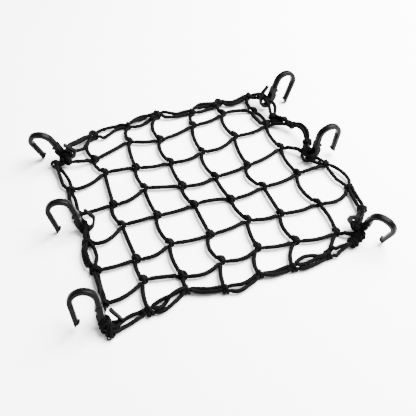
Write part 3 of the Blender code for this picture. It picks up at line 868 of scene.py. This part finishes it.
# The small thread loop at the front left corner.
whippingLoop = {
    "place": (-213.0, -213.6, 3.6),
    "size": 2.3,
    "radius": 0.85,
    "stops": 13,
    "stopsATurn": 12.5,
    "flatness": (1.0, 0.6, 0.7),
    "step": 0.6,             # distance between rings in mm
}


def makeBorder():
    cords = CordMesh()
    total = 0.0
    outerLine, innerLine = [], []
    for _, toName, stops, legs in runs:
        path = runLine(stops, borderSize["steps"])
        lengths = [(stops[index + 1] - stops[index]).length for index in range(len(legs))]
        names = [leg[0] for leg in legs] + [toName]
        thirdLine = []
        for index, (leg, t, place) in enumerate(path[:-1]):
            away = min((place - stops[0]).length, (place - stops[-1]).length)
            if index and away < borderSize["cutNear"]:
                continue
            ahead = path[index + 1][2]
            behind = path[max(index - 1, 0)][2]
            outward = upward.cross(ahead - behind).normalized()
            start, spread, bow, lift = legs[leg]
            isShort = lengths[leg] < borderSize["shortLeg"]
            outer, inner, third, roll = stretchOffsets(start, names[leg + 1], spread, bow, t, isShort)
            rise = upward * (lift * 4 * t * (1 - t))
            turned = math.radians(roll)
            centre, half = (outer + inner) / 2, (outer - inner) / 2
            lie = outward * math.cos(turned) + upward * math.sin(turned)
            # strands that come too near each other lie one on the other
            near = borderSize["touch"]
            climb = math.sqrt(max(near ** 2 - (2 * half) ** 2, 0.0))
            radius = tube["hitchRadius"] if away < borderSize["tightNear"] else borderSize["radius"]
            outerUp = upward * (climb * borderSize["outerClimb"])
            innerDown = upward * (climb * borderSize["innerClimb"])
            outerLine.append((place + rise + outward * centre + lie * half + outerUp, radius))
            innerLine.append((place + rise + outward * centre - lie * half - innerDown, radius))
            if third is not None:
                step = min(abs(third - outer), abs(third - inner))
                climb = math.sqrt(max(near ** 2 - step ** 2, 0.0))
                thirdLine.append((place + rise + outward * third + upward * climb, radius))
        if thirdLine:
            total += cords.addTube(layOverNet(thirdLine))
    for line in (outerLine, innerLine):
        total += cords.addTube(layOverNet(line))
    hitched = {end for row in netRows + netColumns for end in row[:2] if end}
    for name, place in borderKnots.items():
        if name == "bend" or name in hitched:
            continue
        tangent, inward = knotAxes(name)
        size, stub = hitchLooks[name]
        total += cords.addTube(hitchStops(place, tangent, inward, size, 0.0, stub))
    for x, y, z, heading, size, stub in clipWraps:
        way = Matrix.Rotation(math.radians(heading), 3, "Z") @ Vector((1, 0, 0))
        place = Vector((x, y, z)) + middle
        total += cords.addTube(hitchStops(place, way, way.cross(upward), size, 0.0, stub))
    ring = whippingLoop
    centre = Vector(ring["place"]) + middle
    stops = []
    wide, deep, high = ring["flatness"]
    for step in range(ring["stops"]):
        angle = 2 * math.pi * step / ring["stopsATurn"]
        offset = Vector((wide * math.cos(angle), deep * math.sin(angle), high * math.sin(angle)))
        stops.append((centre + offset * ring["size"], ring["radius"]))
    cords.addTube(stops, ring["step"])
    piece = cords.finish("borderCords", borderCord)
    print("border cord in mm:", round(total), "faces:", len(piece.data.polygons))
    return piece


borderPiece = makeBorder()


hook = {
    "shank": 16.6,
    "archRadius": 17.6,
    "archSteps": 28,
    "tipLeg": 39.0,
    "root": 5.0,             # the arm starts this far below the foot of the shank
    "tipStart": 9.5,         # and ends this far above the leg's foot, where the tip begins
    "wide": (11.2, 9.3),
    "thick": (8.3, 7.0),
    "squareness": 0.62,      # 1 is an oval bar, 0 a square one
    "groove": 0.7,
    "grooveShare": 0.24,
    "sectionPoints": 28,
    "bandSteps": 44,
    "roundOver": 1.0,
    "roundSegments": 3,
    "roundAngle": 35,        # edges sharper than this are rounded
}
# Rings of the barbed tip: place from the leg's foot, slant, width and thickness.
hookTip = [
    (0.0, 8.2, 0.0, 9.2, 7.0),
    (-1.1, 6.4, -12.0, 10.4, 9.6),
    (-1.2, 4.6, -30.0, 10.4, 10.6),
    (0.2, 2.6, -42.0, 9.0, 8.6),
    (1.6, 1.0, -48.0, 6.0, 4.4),
]
# The clip's flat band in the hook's plane: outer side, inner side and width.
clipBand = [
    ((4.2, 5.0), (-4.2, 5.0), 11.2),
    ((6.8, 1.6), (-4.2, 1.6), 11.2),
    ((6.8, 0.0), (-4.1, 0.0), 11.2),
    ((4.0, -2.2), (-4.0, -2.2), 11.2),
    ((7.2, -7.0), (-3.6, -8.0), 11.2),
    ((7.4, -14.0), (-3.2, -14.0), 11.2),
    ((5.8, -24.0), (-3.2, -21.0), 10.8),
    ((1.6, -31.5), (-4.4, -27.0), 9.8),
    ((-4.0, -34.0), (-7.2, -28.8), 8.2),
    ((-10.0, -34.0), (-10.6, -28.4), 7.2),
]
# The rest of the band is the gate, standing up and pressed down.
gateUp = [
    ((-16.5, -29.0), (-14.8, -24.5), 6.4),
    ((-22.0, -18.0), (-18.2, -17.0), 6.0),
    ((-23.8, -10.5), (-19.4, -10.0), 6.0),
    ((-17.0, 7.4), (-13.6, 6.4), 5.2),
]
gateDown = [
    ((-17.0, -33.4), (-15.4, -28.6), 6.4),
    ((-23.0, -31.0), (-18.6, -26.8), 6.0),
    ((-24.0, -25.0), (-19.4, -24.0), 6.0),
    ((-14.0, -4.0), (-10.4, -6.4), 5.2),
]
# How far each hook's gate is pressed down.
gateDrop = {
    "hook_back_left": 0.5,
    "hook_back_right": 0.0,
    "hook_mid_right": 0.6,
    "hook_front_right": 0.75,
    "hook_front_left": 1.0,
    "hook_mid_left": 0.1,
}


def bandOf(name):
    drop = gateDrop[name]
    gate = []
    for up, down in zip(gateUp, gateDown):
        sides = [tuple(a + (b - a) * drop for a, b in zip(up[side], down[side])) for side in (0, 1)]
        gate.append((*sides, up[2]))
    return clipBand + gate


# A rounded bar with a shallow groove down each side.
def armSection(wide, thick):
    count = hook["sectionPoints"]
    section = []
    for index in range(count):
        angle = 2 * math.pi * index / count
        across, out = math.cos(angle), math.sin(angle)
        across = math.copysign(abs(across) ** hook["squareness"], across) * wide / 2
        out = math.copysign(abs(out) ** hook["squareness"], out) * thick / 2
        depth = max(0.0, 1.0 - (out / (thick * hook["grooveShare"])) ** 2)
        section.append((across - math.copysign(hook["groove"] * depth, across), out))
    return section


def skinRings(bm, rings):
    count = len(rings[0])
    for lower, upper in zip(rings, rings[1:]):
        for index in range(count):
            after = (index + 1) % count
            bm.faces.new((lower[index], lower[after], upper[after], upper[index]))
    bm.faces.new(rings[0])
    bm.faces.new(rings[-1])


def bandWidth(band, share):
    index, t = between(band, share)
    return band[index][2] + (band[index + 1][2] - band[index][2]) * t


def sampleLine(band, side, share):
    points = [Vector((*row[side], 0.0)) for row in band]
    points = [points[0] * 2 - points[1]] + points + [points[-1] * 2 - points[-2]]
    index, t = between(band, share)
    place = throughFour(*points[index:index + 4], t)
    return place.x, place.y


def makeHookMesh(band):
    bm = bmesh.new()
    shank, radius = hook["shank"], hook["archRadius"]
    length = shank + math.pi * radius + hook["tipLeg"]
    stations = [((0, -hook["root"]), 180.0, 0.0), ((0, shank), 180.0, shank / length)]
    for step in range(1, hook["archSteps"] + 1):
        angle = 180.0 - 180.0 * step / hook["archSteps"]
        u = radius * (1 + math.cos(math.radians(angle)))
        w = shank + radius * math.sin(math.radians(angle))
        share = (shank + math.pi * radius * step / hook["archSteps"]) / length
        stations.append(((u, w), angle, share))
    foot = shank - hook["tipLeg"]
    stations.append(((2 * radius, foot + hook["tipStart"]), 0.0, 1.0))
    rings = []

    def addRing(place, angle, section):
        ring = []
        for across, out in section:
            u = place[0] + out * math.cos(math.radians(angle))
            w = place[1] + out * math.sin(math.radians(angle))
            ring.append(bm.verts.new(Vector((u, across, w)) * mm))
        rings.append(ring)

    for place, angle, share in stations:
        wide = hook["wide"][0] + (hook["wide"][1] - hook["wide"][0]) * share
        thick = hook["thick"][0] + (hook["thick"][1] - hook["thick"][0]) * share
        addRing(place, angle, armSection(wide, thick))
    for u, w, angle, wide, thick in hookTip:
        addRing((2 * radius + u, foot + w), angle, armSection(wide, thick))
    skinRings(bm, rings)

    rings = []
    for index in range(hook["bandSteps"] + 1):
        share = index / hook["bandSteps"]
        outer = sampleLine(band, 0, share)
        inner = sampleLine(band, 1, share)
        half = bandWidth(band, share) / 2
        corners = [(outer[0], -half, outer[1]), (inner[0], -half, inner[1]),
                   (inner[0], half, inner[1]), (outer[0], half, outer[1])]
        rings.append([bm.verts.new(Vector(corner) * mm) for corner in corners])
    skinRings(bm, rings)
    bmesh.ops.recalc_face_normals(bm, faces=bm.faces)
    mesh = bpy.data.meshes.new("hookMesh")
    bm.to_mesh(mesh)
    bm.free()
    return mesh


def makeHooks():
    pieces = []
    for name in hookPlaces:
        words = name.split("_")
        mesh = makeHookMesh(bandOf(name))
        place = hookFrame(name)
        place.translation *= mm
        mesh.transform(place)
        mesh.materials.append(hookPlastic)
        mesh.shade_smooth()
        piece = bpy.data.objects.new(words[1] + words[2].capitalize() + "Hook", mesh)
        bpy.context.scene.collection.objects.link(piece)
        rounding = piece.modifiers.new("roundedEdges", "BEVEL")
        rounding.width = hook["roundOver"] * mm
        rounding.segments = hook["roundSegments"]
        rounding.limit_method = "ANGLE"
        rounding.angle_limit = math.radians(hook["roundAngle"])
        smoothing = piece.modifiers.new("softShading", "WEIGHTED_NORMAL")
        smoothing.keep_sharp = True
        pieces.append((name, piece))
    return pieces


hookPieces = makeHooks()
print("hooks made")


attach(netPiece, "root")
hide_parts("mesh_net")
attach(borderPiece, "root")
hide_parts("edge_cord")
for nodeName, piece in hookPieces:
    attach(piece, "root")
    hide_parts(nodeName)

bpy.context.view_layer.update()
